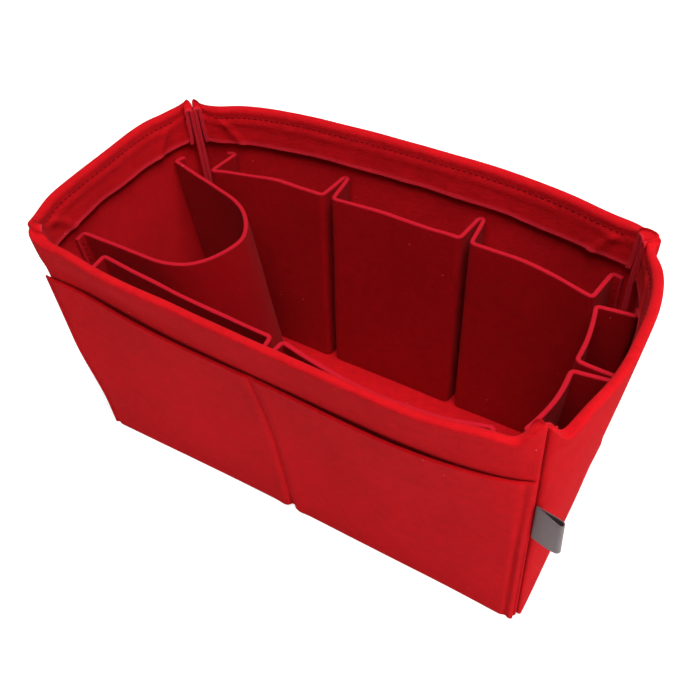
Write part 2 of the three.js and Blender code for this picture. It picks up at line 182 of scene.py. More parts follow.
# How use has pushed the felt off its pattern: the place in plan, the push there, how wide it reaches, and the
# heights from which to which it grows. A push that grows from below the table is the same at all heights.
all_heights = (-0.002, -0.001)
pushes = (
    # front left corner, which bellies out above its foot, with its knuckles turned
    ((-0.150, -0.070), (-0.0020, -0.0034, 0), 0.020, (0.018, 0.085)),
    ((-0.152, -0.062), (-0.0006, 0.0006, 0.0010), 0.0065, (0.140, 0.168)),
    ((-0.150, -0.069), (0.0036, 0.0020, 0.0010), 0.0050, (0.148, 0.168)),
    ((-0.147, -0.0745), (-0.0034, -0.0004, 0), 0.0070, (0.136, 0.168)),
    # both ends of the left rim, a little further out
    ((-0.163, -0.048), (-0.0010, 0, 0), 0.014, (0.100, 0.168)),
    ((-0.153, 0.062), (-0.0016, 0.0010, 0.0006), 0.014, (0.120, 0.168)),
    # front wall: its rim leans out and sags at the left, and its foot is drawn in
    ((-0.105, -0.080), (0, -0.0045, -0.0030), 0.065, (0.139, 0.168)),
    ((-0.035, -0.072), (0, 0.0012, 0), 0.085, (0.060, 0)),
    # front right corner, splayed, with one knuckle up and the rim dipping on both sides
    ((0.150, -0.070), (0.0012, -0.0012, 0), 0.030, all_heights),
    ((0.150, -0.070), (0, -0.0010, -0.0020), 0.020, (0.120, 0.165)),
    ((0.1445, -0.0712), (0, 0, 0.0068), 0.0048, (0.152, 0.168)),
    ((0.1385, -0.0750), (0, -0.0004, -0.0028), 0.0075, (0.148, 0.168)),
    ((0.1570, -0.0570), (0.0008, 0, -0.0030), 0.0075, (0.148, 0.168)),
    ((0.1520, -0.0610), (0.0008, 0, -0.0052), 0.0050, (0.148, 0.168)),
    # right wall, pushed out a little
    ((0.150, -0.030), (0.0013, 0, 0), 0.040, all_heights),
    # back right corner, its tip bent to the right and the rim beside it drawn to the tip
    ((0.150, 0.070), (0.0048, -0.0028, -0.0020), 0.0080, (0.135, 0.168)),
    ((0.150, 0.070), (0.0008, -0.0004, 0), 0.030, all_heights),
    ((0.146, 0.073), (0, 0.0026, 0.0008), 0.016, (0.100, 0.168)),
    ((0.136, 0.077), (0, 0.0014, 0.0004), 0.012, (0.100, 0.168)),
    ((0.1545, 0.0620), (-0.0034, 0, 0), 0.008, (0.120, 0.168)),
)


def add_noise(tree, vector, scale, detail, roughness, distortion=0.0):
    texture = set_inputs(tree.nodes.new("ShaderNodeTexNoise"), Scale=scale, Detail=detail,
                         Roughness=roughness, Distortion=distortion)
    tree.links.new(vector, texture.inputs["Vector"])
    return texture.outputs["Fac"]


def add_range(tree, value, low, high, to_low, to_high):
    node = set_inputs(tree.nodes.new("ShaderNodeMapRange"), From_Min=low, From_Max=high,
                      To_Min=to_low, To_Max=to_high)
    tree.links.new(value, node.inputs["Value"])
    return node.outputs["Result"]


def add_mix(tree, kind, factor, first, second):
    node = tree.nodes.new("ShaderNodeMix")
    node.data_type = "RGBA"
    node.blend_type = kind
    for socket, value in ((node.inputs[0], factor), (node.inputs[6], first), (node.inputs[7], second)):
        if isinstance(value, (float, tuple)):
            socket.default_value = value
        else:
            tree.links.new(value, socket)
    return node.outputs[2]


def add_grey(tree, level):
    node = tree.nodes.new("ShaderNodeCombineColor")
    for channel in range(3):
        tree.links.new(level, node.inputs[channel])
    return node.outputs[0]


def build_needled_felt():
    """The look of needled felt: cloudy colour, matted fibres, a little lint and paler cut edges."""
    tree = bpy.data.node_groups.new("needled_felt", "ShaderNodeTree")
    for name, kind in (("Place", "NodeSocketVector"), ("Felt Colour", "NodeSocketColor"),
                       ("Cut Colour", "NodeSocketColor"), ("Cut Edge", "NodeSocketFloat")):
        tree.interface.new_socket(name, in_out="INPUT", socket_type=kind)
    tree.interface.new_socket("Colour", in_out="OUTPUT", socket_type="NodeSocketColor")
    tree.interface.new_socket("Height", in_out="OUTPUT", socket_type="NodeSocketFloat")
    given = tree.nodes.new("NodeGroupInput").outputs
    result = tree.nodes.new("NodeGroupOutput").inputs
    place = given["Place"]
    clouds = add_noise(tree, place, scale=22, detail=2, roughness=0.5)
    mottle = add_noise(tree, place, scale=170, detail=4, roughness=0.62)
    matted = add_noise(tree, place, scale=950, detail=4, roughness=0.72, distortion=1.6)
    fibres = None
    for turn in fibre_turns:
        lie = set_inputs(tree.nodes.new("ShaderNodeMapping"), Rotation=turn, Scale=fibre_scale)
        tree.links.new(place, lie.inputs["Vector"])
        strands = add_noise(tree, lie.outputs["Vector"], scale=1, detail=2, roughness=0.5, distortion=0.9)
        ridge = add_range(tree, strands, 0.52, 0.70, 0.0, 1.0)
        fibres = ridge if fibres is None else add_math(tree, "MAXIMUM", fibres, ridge)
    cells = set_inputs(tree.nodes.new("ShaderNodeTexVoronoi"), Scale=210)
    tree.links.new(place, cells.inputs["Vector"])
    speck = add_range(tree, cells.outputs["Distance"], 0.05, 0.11, 1.0, 0.0)
    chance = tree.nodes.new("ShaderNodeSeparateColor")
    tree.links.new(cells.outputs["Color"], chance.inputs[0])
    lint = add_math(tree, "MULTIPLY", speck, add_range(tree, chance.outputs[0], 0.955, 0.965, 0.0, 0.55))
    shade = add_math(tree, "ADD", add_range(tree, clouds, 0.3, 0.7, 0.94, 1.05),
                     add_range(tree, mottle, 0.25, 0.75, -0.10, 0.10))
    shade = add_math(tree, "ADD", shade, add_range(tree, matted, 0.25, 0.75, -0.11, 0.11))
    shade = add_math(tree, "ADD", shade, add_range(tree, fibres, 0.0, 1.0, -0.02, 0.10))
    body = add_mix(tree, "MULTIPLY", 1.0, given["Felt Colour"], add_grey(tree, shade))
    torn = add_math(tree, "MULTIPLY", given["Cut Edge"], add_range(tree, matted, 0.25, 0.75, 0.55, 1.0))
    edged = add_mix(tree, "MIX", torn, body, given["Cut Colour"])
    flecked = add_mix(tree, "MIX", lint, edged, lint_colour)
    tree.links.new(flecked, result["Colour"])
    height = add_math(tree, "MULTIPLY", matted, 0.55)
    height = add_math(tree, "ADD", height, add_math(tree, "MULTIPLY", fibres, 0.30))
    height = add_math(tree, "ADD", height, add_math(tree, "MULTIPLY", mottle, 0.9))
    height = add_math(tree, "ADD", height, add_math(tree, "MULTIPLY", lint, 0.5))
    tree.links.new(height, result["Height"])
    return tree


needled_felt = build_needled_felt()


def new_finish(name):
    finish = bpy.data.materials.new(name)
    finish.use_nodes = True
    return finish, finish.node_tree, finish.node_tree.nodes["Principled BSDF"]


def felt_finish(name, colour, edge_colour):
    """A felt of one colour and its cut edge, with the shared fibres on it."""
    finish, tree, surface = new_finish(name)
    place = tree.nodes.new("ShaderNodeTexCoord")
    cut_edge = tree.nodes.new("ShaderNodeAttribute")
    cut_edge.attribute_name = "cut_edge"
    look = tree.nodes.new("ShaderNodeGroup")
    look.node_tree = needled_felt
    set_inputs(look, Felt_Colour=colour, Cut_Colour=edge_colour)
    tree.links.new(place.outputs["Object"], look.inputs["Place"])
    tree.links.new(cut_edge.outputs["Fac"], look.inputs["Cut Edge"])
    relief = set_inputs(tree.nodes.new("ShaderNodeBump"), Distance=felt_bump,
                        Strength=felt_bump_strength)
    tree.links.new(look.outputs["Height"], relief.inputs["Height"])
    tree.links.new(look.outputs["Colour"], surface.inputs["Base Color"])
    tree.links.new(relief.outputs["Normal"], surface.inputs["Normal"])
    set_inputs(surface, Roughness=0.92, Specular_IOR_Level=0.03, Sheen_Weight=0.03, Sheen_Roughness=0.45,
               Sheen_Tint=sheen_tint)
    return finish


wall_finish = felt_finish("red_wall_felt", felt_colour, cut_colour)


def stations(start, *stretches):
    """Places from start to the end of each stretch in turn, in even steps of about the stretch's own size."""
    places = [start]
    for end, longest in stretches:
        begin = places[-1]
        count = max(round((end - begin) / longest), 1)
        places += [begin + (end - begin) * i / count for i in range(1, count + 1)]
    return places


def felt_piece(name, across, up, thickness, place, finish, edge_round=cut_round,
               cut_sides=("left", "right", "foot", "top"), top_pale_width=cut_round):
    """A piece of felt: a flat slab cut across by up, its edges softened, then folded to where it is sewn."""
    bm = bmesh.new()
    bmesh.ops.create_grid(bm, x_segments=len(across) - 1, y_segments=len(up) - 1, size=0.5)
    for vert in bm.verts:  # the even grid, stretched to the stations
        column = round((vert.co.x + 0.5) * (len(across) - 1))
        row = round((vert.co.y + 0.5) * (len(up) - 1))
        vert.co = (across[column], up[row], 0)
    raised = bmesh.ops.extrude_face_region(bm, geom=bm.faces[:])["geom"]
    raised_verts = [part for part in raised if isinstance(part, bmesh.types.BMVert)]
    bmesh.ops.translate(bm, vec=(0, 0, thickness), verts=raised_verts)
    bmesh.ops.recalc_face_normals(bm, faces=bm.faces[:])
    border = [edge for edge in bm.edges if edge.calc_face_angle(0) > 1]  # where two sides of the slab meet
    bmesh.ops.bevel(bm, geom=border, offset=edge_round, offset_type="OFFSET", segments=2, profile=0.5,
                    affect="EDGES", material=-1, clamp_overlap=True)
    cut_layer = bm.verts.layers.float.new("cut_edge")
    flat_layer = bm.loops.layers.uv.new("flat_cut")
    for face in bm.faces:
        face.smooth = True
        for loop in face.loops:
            loop[flat_layer].uv = loop.vert.co.xy
    for vert in bm.verts:
        x, y, depth = vert.co
        from_edges = {"left": x - across[0], "right": across[-1] - x, "foot": y - up[0], "top": up[-1] - y}
        on_cut = any(from_edges[edge_side] < edge_round * cut_margin for edge_side in cut_sides)
        # A wider pale strip at the top is paler cut felt and also a painted highlight of the lit edge.
        on_top_pale = "top" in cut_sides and from_edges["top"] < top_pale_width * cut_margin
        vert[cut_layer] = 1.0 if on_cut or on_top_pale else 0.0
        vert.co = place(x, y, depth)
    bmesh.ops.recalc_face_normals(bm, faces=bm.faces[:])
    return mesh_object(name, bm, finish)


def smooth_step(value, low, high):
    share = min(max((value - low) / (high - low), 0), 1)
    return share * share * (3 - 2 * share)


def pushed(point):
    """A point of the sewn insert after the pushes of use."""
    push = Vector((0, 0, 0))
    for (x, y), way, reach, (low, high) in pushes:
        share = math.exp(-((point.x - x) ** 2 + (point.y - y) ** 2) / reach ** 2)
        push += share * smooth_step(point.z, low, high) * Vector(way)
    return point + push


base_half_length = box_length / 2 - wall_felt - fit_gap
base_half_depth = box_depth / 2 - wall_felt - fit_gap


def edged_stations(low, high, step):
    """Even steps with one close to each cut edge, so that the paler cut stays narrow."""
    return stations(low, (low + cut_reach, cut_reach), (high - cut_reach, step), (high, cut_reach))


base = felt_piece("base_felt", edged_stations(-base_half_length, base_half_length, base_step),
                  edged_stations(-base_half_depth, base_half_depth, base_step), base_felt,
                  lambda x, y, depth: pushed(Vector((x, y, depth))), wall_finish)
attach(base, "insert")
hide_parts("base_panel")

# WALL PANELS
# Four pieces of the same felt. Each is folded inwards over the rim into a hem and stitched, and its two ends
# are turned inwards at the corner seams, so that the folded rim ends in a knuckle on each side of a valley.
box_height = 0.170
front_belly = (0.021, 0.45, 1.9, 3.5, 2.2)  # depth, place share, how square to its start and end, lean power
back_belly = (0.024, 0.0, 3.9, 3.0, 1.1)
left_belly = (0.0175, 0.0, 4.5, 4.5, 1.1)
right_belly = (0.019, 0.0, 2.5, 2.5, 0.95)
wobble_size = 0.0009
wobble_length = 0.055
wobble_start = 0.03  # shares of the height, from which and to which the wobble grows
wobble_full = 0.4
seed_spacing = 7.3  # keeps the walls' waves unlike each other
slope_reach = 0.0005  # to each side of a place where a wall's slope is read
hem_gap = 0.0004
hem_depth = 0.025
hem_stitch_drop = 0.0062
hem_groove = 0.00015
hem_groove_reach = 0.0012
hem_groove_waves = 0.5
hem_groove_inner_share = 1.1  # the groove is pulled in from inside, and hardly shows outside
hem_groove_outer_share = 0.1
hem_hang_start = 0.002  # below the stitches, from where the band hangs free
hem_stand = 0.0003  # how far the band's lower edge stands off the wall
hem_stand_waves = 0.0006
hem_fine_waves = 0.0003
hem_edge_waves = 0.0012  # how much its lower edge rises and falls
hem_crease = 0.0014  # a slanting crease in the band beside each corner
hem_crease_reach = 0.0022
hem_crease_place = 0.016  # from the corner, at the stitches
hem_crease_slant = 0.75
hem_crease_start = 0.001  # below the stitches
hem_crease_full = 0.006
hem_puff = 0.0004  # the felt puffs up below the stitches, and less above them
hem_puff_waves = 1.3
hem_puff_drop = 0.004
hem_puff_reach = 0.0024
hem_upper_puff_share = 0.2
hem_upper_puff_rise = 0.0035
hem_upper_puff_reach = 0.002
hem_pale_edge_width = 0.0018  # how far up the band its lower edge is paler: the paler cut felt, widened into a painted highlight of the lit edge
hem_curl = 0.0003  # the band curls off the wall towards that edge
hem_curled = 0.0035
seam_allowance = 0.0085
seam_bend = 0.0043  # along the wall and along the allowance, from their corner to the bend's ends
seam_bend_core = 0.0022  # the depth at which the bend is a sharp crease
seam_crease = 0.0004
seam_squeeze = 0.015  # over this length the inner layers are pushed back by the bend
seam_search = 0.020  # the stretch before a corner in which every layer meets its turned-in end
seam_search_steps = 14
seam_gap = 0.00006  # between the two turned-in ends that are sewn together
seam_wave = 0.0005  # how far they curve off the straight line between them
turned_foot = base_felt + fit_gap
turned_foot_fade = 0.02
knuckle_start = 0.13  # the height from which a knuckle rises
knuckle_rise = 0.0040
knuckle_reach = 0.0055
knuckle_dip_share = 0.25  # the rim dips a little beside each knuckle
knuckle_dip_place = 0.016
knuckle_dip_reach = 0.009
rim_waves = 0.0005
roll = (2 * wall_felt + hem_gap) / 2
roll_bottom = box_height - roll
roll_length = math.pi * (roll - wall_felt / 2)
hem_cut = roll_bottom + roll_length + hem_depth - roll


class Wall:
    """A wall's directions in plan, its sizes and belly, and the side to which its turned-in ends curve."""

    def __init__(self, name, node, along, out, half, away, belly, seed, seam_side):
        self.name = name
        self.node = node
        self.along = Vector(along)
        self.out = Vector(out)
        self.half = half
        self.away = away
        self.belly = belly
        self.seed = seed
        self.seam_side = seam_side


half_length, half_depth = box_length / 2, box_depth / 2
front_wall = Wall("front", "front_panel", (1, 0, 0), (0, -1, 0), half_length, half_depth, front_belly, 1, 1)
back_wall = Wall("back", "back_panel", (1, 0, 0), (0, 1, 0), half_length, half_depth, back_belly, 2, 1)
left_wall = Wall("left", "left_end_panel", (0, 1, 0), (-1, 0, 0), half_depth, half_length, left_belly, 3, -1)
right_wall = Wall("right", "right_end_panel", (0, 1, 0), (1, 0, 0), half_depth, half_length, right_belly,
                  4, -1)
walls = [front_wall, back_wall, left_wall, right_wall]


def bump_at(value, middle, reach):
    """One at the middle, fading to nothing past its reach."""
    return math.exp(-((value - middle) / reach) ** 2)


def ripple(wall, run, lump, line):
    """Soft unevenness from -1 to 1, the same each time, in lumps of about one size.

    The line is a height on the wall. Waves that change along the wall only have a fixed line of their own.
    """
    return noise.noise(Vector((run / lump, line / lump, wall.seed * seed_spacing)))


def bulge(wall, run, height):
    """How far a wall bellies out, with the slight waves of hand-sewn felt."""
    depth, place_share, start_power, end_power, lean_power = wall.belly
    place = place_share * wall.half
    if run < place:
        share, power = (place - run) / (wall.half + place), start_power
    else:
        share, power = (run - place) / (wall.half - place), end_power
    share = min(share, 1)
    rise = max(height, 0) / box_height
    waves = wobble_size * ripple(wall, run, lump=wobble_length, line=height) * (1 - share ** 2)
    waves *= smooth_step(rise, wobble_start, wobble_full)
    return depth * (1 - share ** power) * rise ** lean_power + waves


def face_point(wall, run, depth, height):
    """A point of a wall in plan, so deep in it, square to its bellied face: its run and its place inwards."""
    reach = wall.half - slope_reach
    middle = min(max(run, -reach), reach)
    rise = bulge(wall, middle + slope_reach, height) - bulge(wall, middle - slope_reach, height)
    slope = rise / (2 * slope_reach)
    size = math.sqrt(1 + slope * slope)
    return Vector((run + depth * slope / size, depth / size - bulge(wall, run, height)))


def beside(wall, run, inwards, height):
    """A point beside a wall: along it, inwards from its outer face, and up."""
    square = min(inwards, 2 * roll)
    place = face_point(wall, run, square, height)
    point = wall.along * place.x + wall.out * (wall.away - place.y - (inwards - square))
    point.z = height
    return pushed(point)


def hem_fold(wall, run, rise, depth):
    """Where a point of the wall's cut lies once its top is folded over: inwards and up."""
    if rise <= roll_bottom:
        inwards, height, layer = depth, rise, 0
    elif rise <= roll_bottom + roll_length:
        turn = math.pi * (rise - roll_bottom) / roll_length
        inwards = roll - (roll - depth) * math.cos(turn)
        height = roll_bottom + (roll - depth) * math.sin(turn)
        layer = (1 - math.cos(turn)) / 2
    else:
        inwards, height, layer = 2 * roll - depth, roll_bottom - (rise - roll_bottom - roll_length), 1
    stitch = box_height - hem_stitch_drop
    face = 1 - depth / wall_felt
    pull = hem_groove * bump_at(height, stitch, hem_groove_reach) * face
    pull *= 1 + hem_groove_waves * ripple(wall, run, lump=0.011, line=6.1)
    inwards += pull * (hem_groove_outer_share - hem_groove_inner_share * layer)
    if layer == 1:
        hang = smooth_step(stitch - height, hem_hang_start, hem_depth - hem_stitch_drop)
        stand = hem_stand + hem_stand_waves * ripple(wall, run, lump=0.022, line=0.4)
        inwards += hang * (stand + hem_fine_waves * ripple(wall, run, lump=0.009, line=height))
        height += hang * hem_edge_waves * ripple(wall, run, lump=0.030, line=0.9)
        crease_place = wall.half - hem_crease_place - hem_crease_slant * (stitch - height)
        crease = hem_crease * bump_at(abs(run), crease_place, hem_crease_reach)
        inwards += crease * smooth_step(stitch - height, hem_crease_start, hem_crease_full)
        puff = bump_at(height, stitch - hem_puff_drop, hem_puff_reach)
        puff += hem_upper_puff_share * bump_at(height, stitch + hem_upper_puff_rise, hem_upper_puff_reach)
        inwards += hem_puff * puff * face * (1 + hem_puff_waves * ripple(wall, run, lump=0.008, line=0.2))
        inwards += hem_curl * smooth_step(rise, hem_cut - hem_curled, hem_cut)
    return inwards, height


@functools.lru_cache(maxsize=None)
def seam_meeting(wall, side, depth, height):
    """The run at which a layer of the wall meets the same layer of its own turned-in end."""
    low = wall.half - seam_search
    high = wall.half
    for _ in range(seam_search_steps):
        middle = (low + high) / 2
        place = face_point(wall, side * middle, depth, height)
        if side * place.x + place.y < wall.half - math.sqrt(2) * (seam_gap / 2 + depth):
            low = middle
        else:
            high = middle
    return low


def turned_point(wall, side, reach, depth):
    """A point of a turned-in end, along the corner's diagonal and off it: its run and its place inwards."""
    curve = seam_wave * wall.seam_side * math.sin(math.pi * min(max(reach / seam_allowance, 0), 1))
    off = seam_gap / 2 + depth + curve
    return Vector((side * (wall.half - (reach + off) / math.sqrt(2)), (reach - off) / math.sqrt(2)))


def corner_fold(wall, cut_run, depth, height):
    """Where a point of a wall lies in plan once its ends are turned in: its run and its place inwards."""
    side = math.copysign(1, cut_run)
    run = abs(cut_run)
    bend_start = wall.half - seam_bend
    bend_end = wall.half + seam_bend
    squeezed = bend_start - seam_squeeze
    if run <= squeezed:
        return face_point(wall, cut_run, depth, height)
    meeting = seam_meeting(wall, side, round(depth, 5), round(height, 4))
    corner = face_point(wall, side * meeting, depth, height)
    meeting_reach = (wall.half - side * corner.x + corner.y) / math.sqrt(2)
    bend = max(seam_bend * (1 - depth / seam_bend_core), seam_crease)
    last = meeting - bend
    first = meeting_reach + bend
    tip = max(seam_allowance, first + seam_crease)
    if run <= bend_start:
        run = squeezed + (run - squeezed) * (last - squeezed) / seam_squeeze
        return face_point(wall, side * run, depth, height)
    if run >= bend_end:
        end_reach = seam_allowance - seam_bend
        return turned_point(wall, side, first + (tip - first) * (run - bend_end) / end_reach, depth)
    share = (run - bend_start) / (bend_end - bend_start)
    start = face_point(wall, side * last, depth, height)
    end = turned_point(wall, side, first, depth)
    return start.lerp(corner, share).lerp(corner.lerp(end, share), share)


def wall_place(wall, cut_run, rise, depth):
    """Where a point of a wall's flat cut lies on the sewn insert."""
    run = max(min(cut_run, wall.half), -wall.half)
    inwards, height = hem_fold(wall, run, rise, depth)
    near_seam = smooth_step(abs(cut_run), wall.half - seam_bend, wall.half)
    place = corner_fold(wall, cut_run, inwards, height)
    top = smooth_step(height, knuckle_start, box_height)
    knuckle = bump_at(abs(cut_run), wall.half, knuckle_reach)
    knuckle -= knuckle_dip_share * bump_at(abs(cut_run), wall.half - knuckle_dip_place, knuckle_dip_reach)
    waves = rim_waves * ripple(wall, cut_run, lump=0.028, line=2.2)
    height += top * (knuckle_rise * knuckle + waves)
    height += near_seam * turned_foot * (1 - smooth_step(height, 0, turned_foot_fade))
    point = wall.along * place.x + wall.out * (wall.away - place.y)
    point.z = height
    return pushed(point)


wall_step = 0.0024
squeeze_step = 0.0018
bend_step = 0.0007
allowance_step = 0.0015
upper_wall_step = 0.0022
roll_step = 0.00046
hem_step = 0.0016
stitch_margin = 0.003  # of finer rows beyond the hem's stitches


def wall_columns(wall):
    bend_start = wall.half - seam_bend
    bend_end = wall.half + seam_bend
    tip = bend_start + seam_bend + seam_allowance
    right = stations(0, (bend_start - seam_squeeze, wall_step), (bend_start, squeeze_step),
                     (bend_end, bend_step), (tip - cut_reach, allowance_step), (tip, cut_reach))
    return [-place for place in right[:0:-1]] + right


stitch_rise = box_height - hem_stitch_drop
inner_stitch_rise = roll_bottom + roll_length + (roll_bottom - stitch_rise)
wall_rows = stations(0, (cut_reach, cut_reach), (box_height - hem_depth, wall_step),
                     (stitch_rise - stitch_margin, upper_wall_step), (roll_bottom, bend_step),
                     (roll_bottom + roll_length, roll_step), (inner_stitch_rise + stitch_margin, bend_step),
                     (hem_cut - 1.1 * hem_pale_edge_width, hem_step), (hem_cut, cut_reach))
for wall in walls:
    piece = felt_piece(f"{wall.name}_wall_felt", wall_columns(wall), wall_rows, wall_felt,
                       lambda x, y, depth, wall=wall: wall_place(wall, x, y, depth), wall_finish,
                       top_pale_width=hem_pale_edge_width)
    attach(piece, "insert")
    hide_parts(wall.node)

# HEM STITCHES
# The hem is closed by one row of straight machine stitches all round, a few millimetres below the rim. The
# thread lies sunk in the felt. Its red is darker than the felt's, partly its own colour and partly painted
# shade of the pits it sinks into.
# Partly painted shade: the thread's red is darkened for the shaded pits along the stitch line.
thread_colour_with_pit_shade = (0.170, 0.0022, 0.0038, 1)
stitch_pitch = 0.0038
stitch_length = 0.0027
thread_width = 0.0011
thread_depth = 0.00005  # of the stitches' middle line below the face of the hem
hem_stitch_end = 0.012  # from each corner to the first stitch
thread_finish, thread_tree, thread_surface = new_finish("red_thread")
set_inputs(thread_surface, Roughness=0.55, Specular_IOR_Level=0.05)
thread_place = thread_tree.nodes.new("ShaderNodeTexCoord")
thread_twist = add_noise(thread_tree, thread_place.outputs["Object"], scale=2600, detail=2, roughness=0.6)
thread_shade = add_grey(thread_tree, add_range(thread_tree, thread_twist, 0.3, 0.7, 0.75, 1.3))
thread_tint = add_mix(thread_tree, "MULTIPLY", 1.0, thread_colour_with_pit_shade, thread_shade)
thread_tree.links.new(thread_tint, thread_surface.inputs["Base Color"])


def stitch_row(name, ends):
    """A row of stitches, each a short bead of thread from one end to the other."""
    bm = bmesh.new()
    for start, end in ends:
        way = end - start
        turn = way.to_track_quat("X", "Z").to_matrix().to_4x4()
        size = Matrix.Diagonal((way.length / 2, thread_width / 2, thread_width / 2, 1))
        bmesh.ops.create_uvsphere(bm, u_segments=6, v_segments=4, radius=1,
                                  matrix=Matrix.Translation((start + end) / 2) @ turn @ size)
    for face in bm.faces:
        face.smooth = True
    row = mesh_object(name, bm, thread_finish)
    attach(row, "insert")


def stitches_between(low, high, place):
    """The two ends of each stitch along a line that place gives."""
    count = int((high - low) / stitch_pitch)
    middles = [low + (high - low) * (i + 0.5) / count for i in range(count)]
    return [(place(middle - stitch_length / 2), place(middle + stitch_length / 2)) for middle in middles]


for wall in walls:
    reach = wall.half - hem_stitch_end
    ends = stitches_between(-reach, reach, lambda run: wall_place(wall, run, inner_stitch_rise, thread_depth))
    stitch_row(f"{wall.name}_hem_stitches", ends)

# INNER POCKET STRIPS
# Each row of pockets is one strip of thinner felt, sewn flat to the wall at its ends. It runs out, along a
# pocket's front, back to the wall in a narrow pleat and out again, so each pocket has its own box folds.
# Painted shade: the pocket felt and its cut edge are the wall's felt, coloured darker to stand in for the
# shade inside the box.
pocket_colour_with_painted_shade = (0.305, 0.0026, 0.0048, 1)
pocket_cut_colour_with_painted_shade = (0.430, 0.008, 0.020, 1)
pocket_finish_with_painted_shade = felt_finish("red_pocket_felt_with_painted_shade", pocket_colour_with_painted_shade, pocket_cut_colour_with_painted_shade)
pocket_felt = 0.0026
sewn_gap = 0.0004
pocket_top = 0.137
pocket_depth = 0.024
pocket_foot_depth = 0.018
pleat_mouth = 0.0076
pleat_foot = 0.0032
strip_flange = 0.006
strip_splay = 0.003
fold_radius = 0.0026
fold_steps = 5
strip_step = 0.0026
same_place = 1e-6
strip_sway = 0.0008  # how much a mouth wanders in and out, away from the stitches
strip_sway_start = 0.09
strip_free_start = 0.003  # off the wall, from where it wanders
strip_free_full = 0.014
strip_dip = 0.0011  # how much a mouth rises and falls
strip_dip_start = 0.11
strip_foot = base_felt + fit_gap
strip_stitch_inset = 0.45 * strip_flange
strip_stitch_start = 0.004  # above the foot
strip_stitch_stop = 0.003  # below the mouth
on_wall = wall_felt + sewn_gap + pocket_felt / 2
sag_place_shares = [i / 8 for i in range(1, 8)]


class FoldedLine:
    """The middle line of a folded strip, seen from above, by the length along it."""

    def __init__(self, points):
        self.points = points
        self.lengths = [0]
        for a, b in zip(points, points[1:]):
            self.lengths.append(self.lengths[-1] + (b - a).length)
        self.sides = []
        for i, point in enumerate(points):
            before = points[max(i - 1, 0)]
            after = points[min(i + 1, len(points) - 1)]
            way = (after - before).normalized()
            self.sides.append(Vector((-way.y, way.x)))
        self.last = 0

    def at(self, length):
        """The point at a length along the line, and the direction square to it there."""
        i = self.last if self.lengths[self.last] <= length else 0
        while i < len(self.points) - 2 and self.lengths[i + 1] < length:
            i += 1
        self.last = i
        share = (length - self.lengths[i]) / (self.lengths[i + 1] - self.lengths[i])
        side = self.sides[i].lerp(self.sides[i + 1], share).normalized()
        return self.points[i].lerp(self.points[i + 1], share), side


def round_corners(corners):
    """Points through the corners, each rounded off."""
    points = [corners[0]]
    for before, corner, after in zip(corners, corners[1:], corners[2:]):
        start = corner.lerp(before, min(fold_radius / (before - corner).length, 0.5))
        end = corner.lerp(after, min(fold_radius / (after - corner).length, 0.5))
        for i in range(fold_steps + 1):
            share = i / fold_steps
            points.append(start.lerp(corner, share).lerp(corner.lerp(end, share), share))
    return points + [corners[-1]]


def in_short_steps(points, longest):
    """The same line with its long stretches cut into short ones, and no two points in one place."""
    line = [points[0]]
    for point in points[1:]:
        stretch = (point - line[-1]).length
        if stretch > same_place:
            count = max(math.ceil(stretch / longest), 1)
            begin = line[-1]
            line += [begin.lerp(point, i / count) for i in range(1, count + 1)]
    return line


def pocket_corners(wall, start, width_shares, sag_shares):
    """The corners of a pocket strip's middle line: run along the wall, inwards from its outer face."""
    front = wall_felt + pocket_depth
    corners = []
    begin = start - wall.half
    for i, (width_share, sag_share) in enumerate(zip(width_shares, sag_shares)):
        end = begin + width_share * 2 * wall.half
        is_last = i == len(width_shares) - 1
        half_pleat = (pleat_mouth - pleat_foot) / 2
        foot = begin + strip_splay if i == 0 else begin - half_pleat
        next_foot = end + strip_splay if is_last else end + half_pleat
        if i == 0:
            corners.append(Vector((foot - strip_flange, on_wall)))
        corners += [Vector((foot, on_wall)), Vector((begin, front))]
        for share in sag_place_shares:
            slack = sag_share * pocket_depth * math.sin(math.pi * share)
            corners.append(Vector((begin + share * (end - begin), front - slack)))
        corners += [Vector((end, front)), Vector((next_foot, on_wall))]
        if is_last:
            corners.append(Vector((next_foot + strip_flange, on_wall)))
        begin = end + pleat_mouth
    return corners


def strip_columns(line):
    """The line's own lengths, with one close to each cut end."""
    total = line.lengths[-1]
    inner = [length for length in line.lengths if 1.5 * cut_reach < length < total - 1.5 * cut_reach]
    return [0, cut_reach, *inner, total - cut_reach, total]


strip_row_step = 0.0045
strip_mouth_step = 0.0028
mouth_edge = 0.003
mouth_edge_step = 0.0014
strip_rows = stations(strip_foot, (strip_foot + cut_reach, cut_reach), (strip_dip_start, strip_row_step),
                      (pocket_top - mouth_edge, strip_mouth_step), (pocket_top - cut_reach, mouth_edge_step),
                      (pocket_top, cut_reach))


def strip_place(wall, line, deepens, along, height, depth):
    """Where a point of a standing strip lies: on its folded line, leaning with the wall."""
    point, side = line.at(along)
    point = point + side * (depth - pocket_felt / 2)
    lean = 1.0
    if deepens:
        lean = (pocket_foot_depth + (pocket_depth - pocket_foot_depth) * height / pocket_top) / pocket_depth
    free = smooth_step(point.y, on_wall + strip_free_start, on_wall + strip_free_full)
    mouth = smooth_step(height, strip_sway_start, pocket_top)
    sway = free * mouth * strip_sway * ripple(wall, point.x + 2 * point.y, lump=0.030, line=3.1)
    inwards = on_wall + (point.y - on_wall) * lean + sway
    waves = ripple(wall, along, lump=0.024, line=5.7)
    dip = smooth_step(height, strip_dip_start, pocket_top) * strip_dip * waves
    return beside(wall, point.x, inwards, height + dip)


def sew_down(name, line, place):
    """Rows of stitches down the two flat ends of a standing strip."""
    face = pocket_felt if line.sides[0].y > 0 else 0
    low, high = strip_foot + strip_stitch_start, pocket_top - strip_stitch_stop
    rows = []
    for along in (strip_stitch_inset, line.lengths[-1] - strip_stitch_inset):
        rows += stitches_between(low, high, lambda height: place(along, height, face))
    stitch_row(f"{name}_stitches", rows)


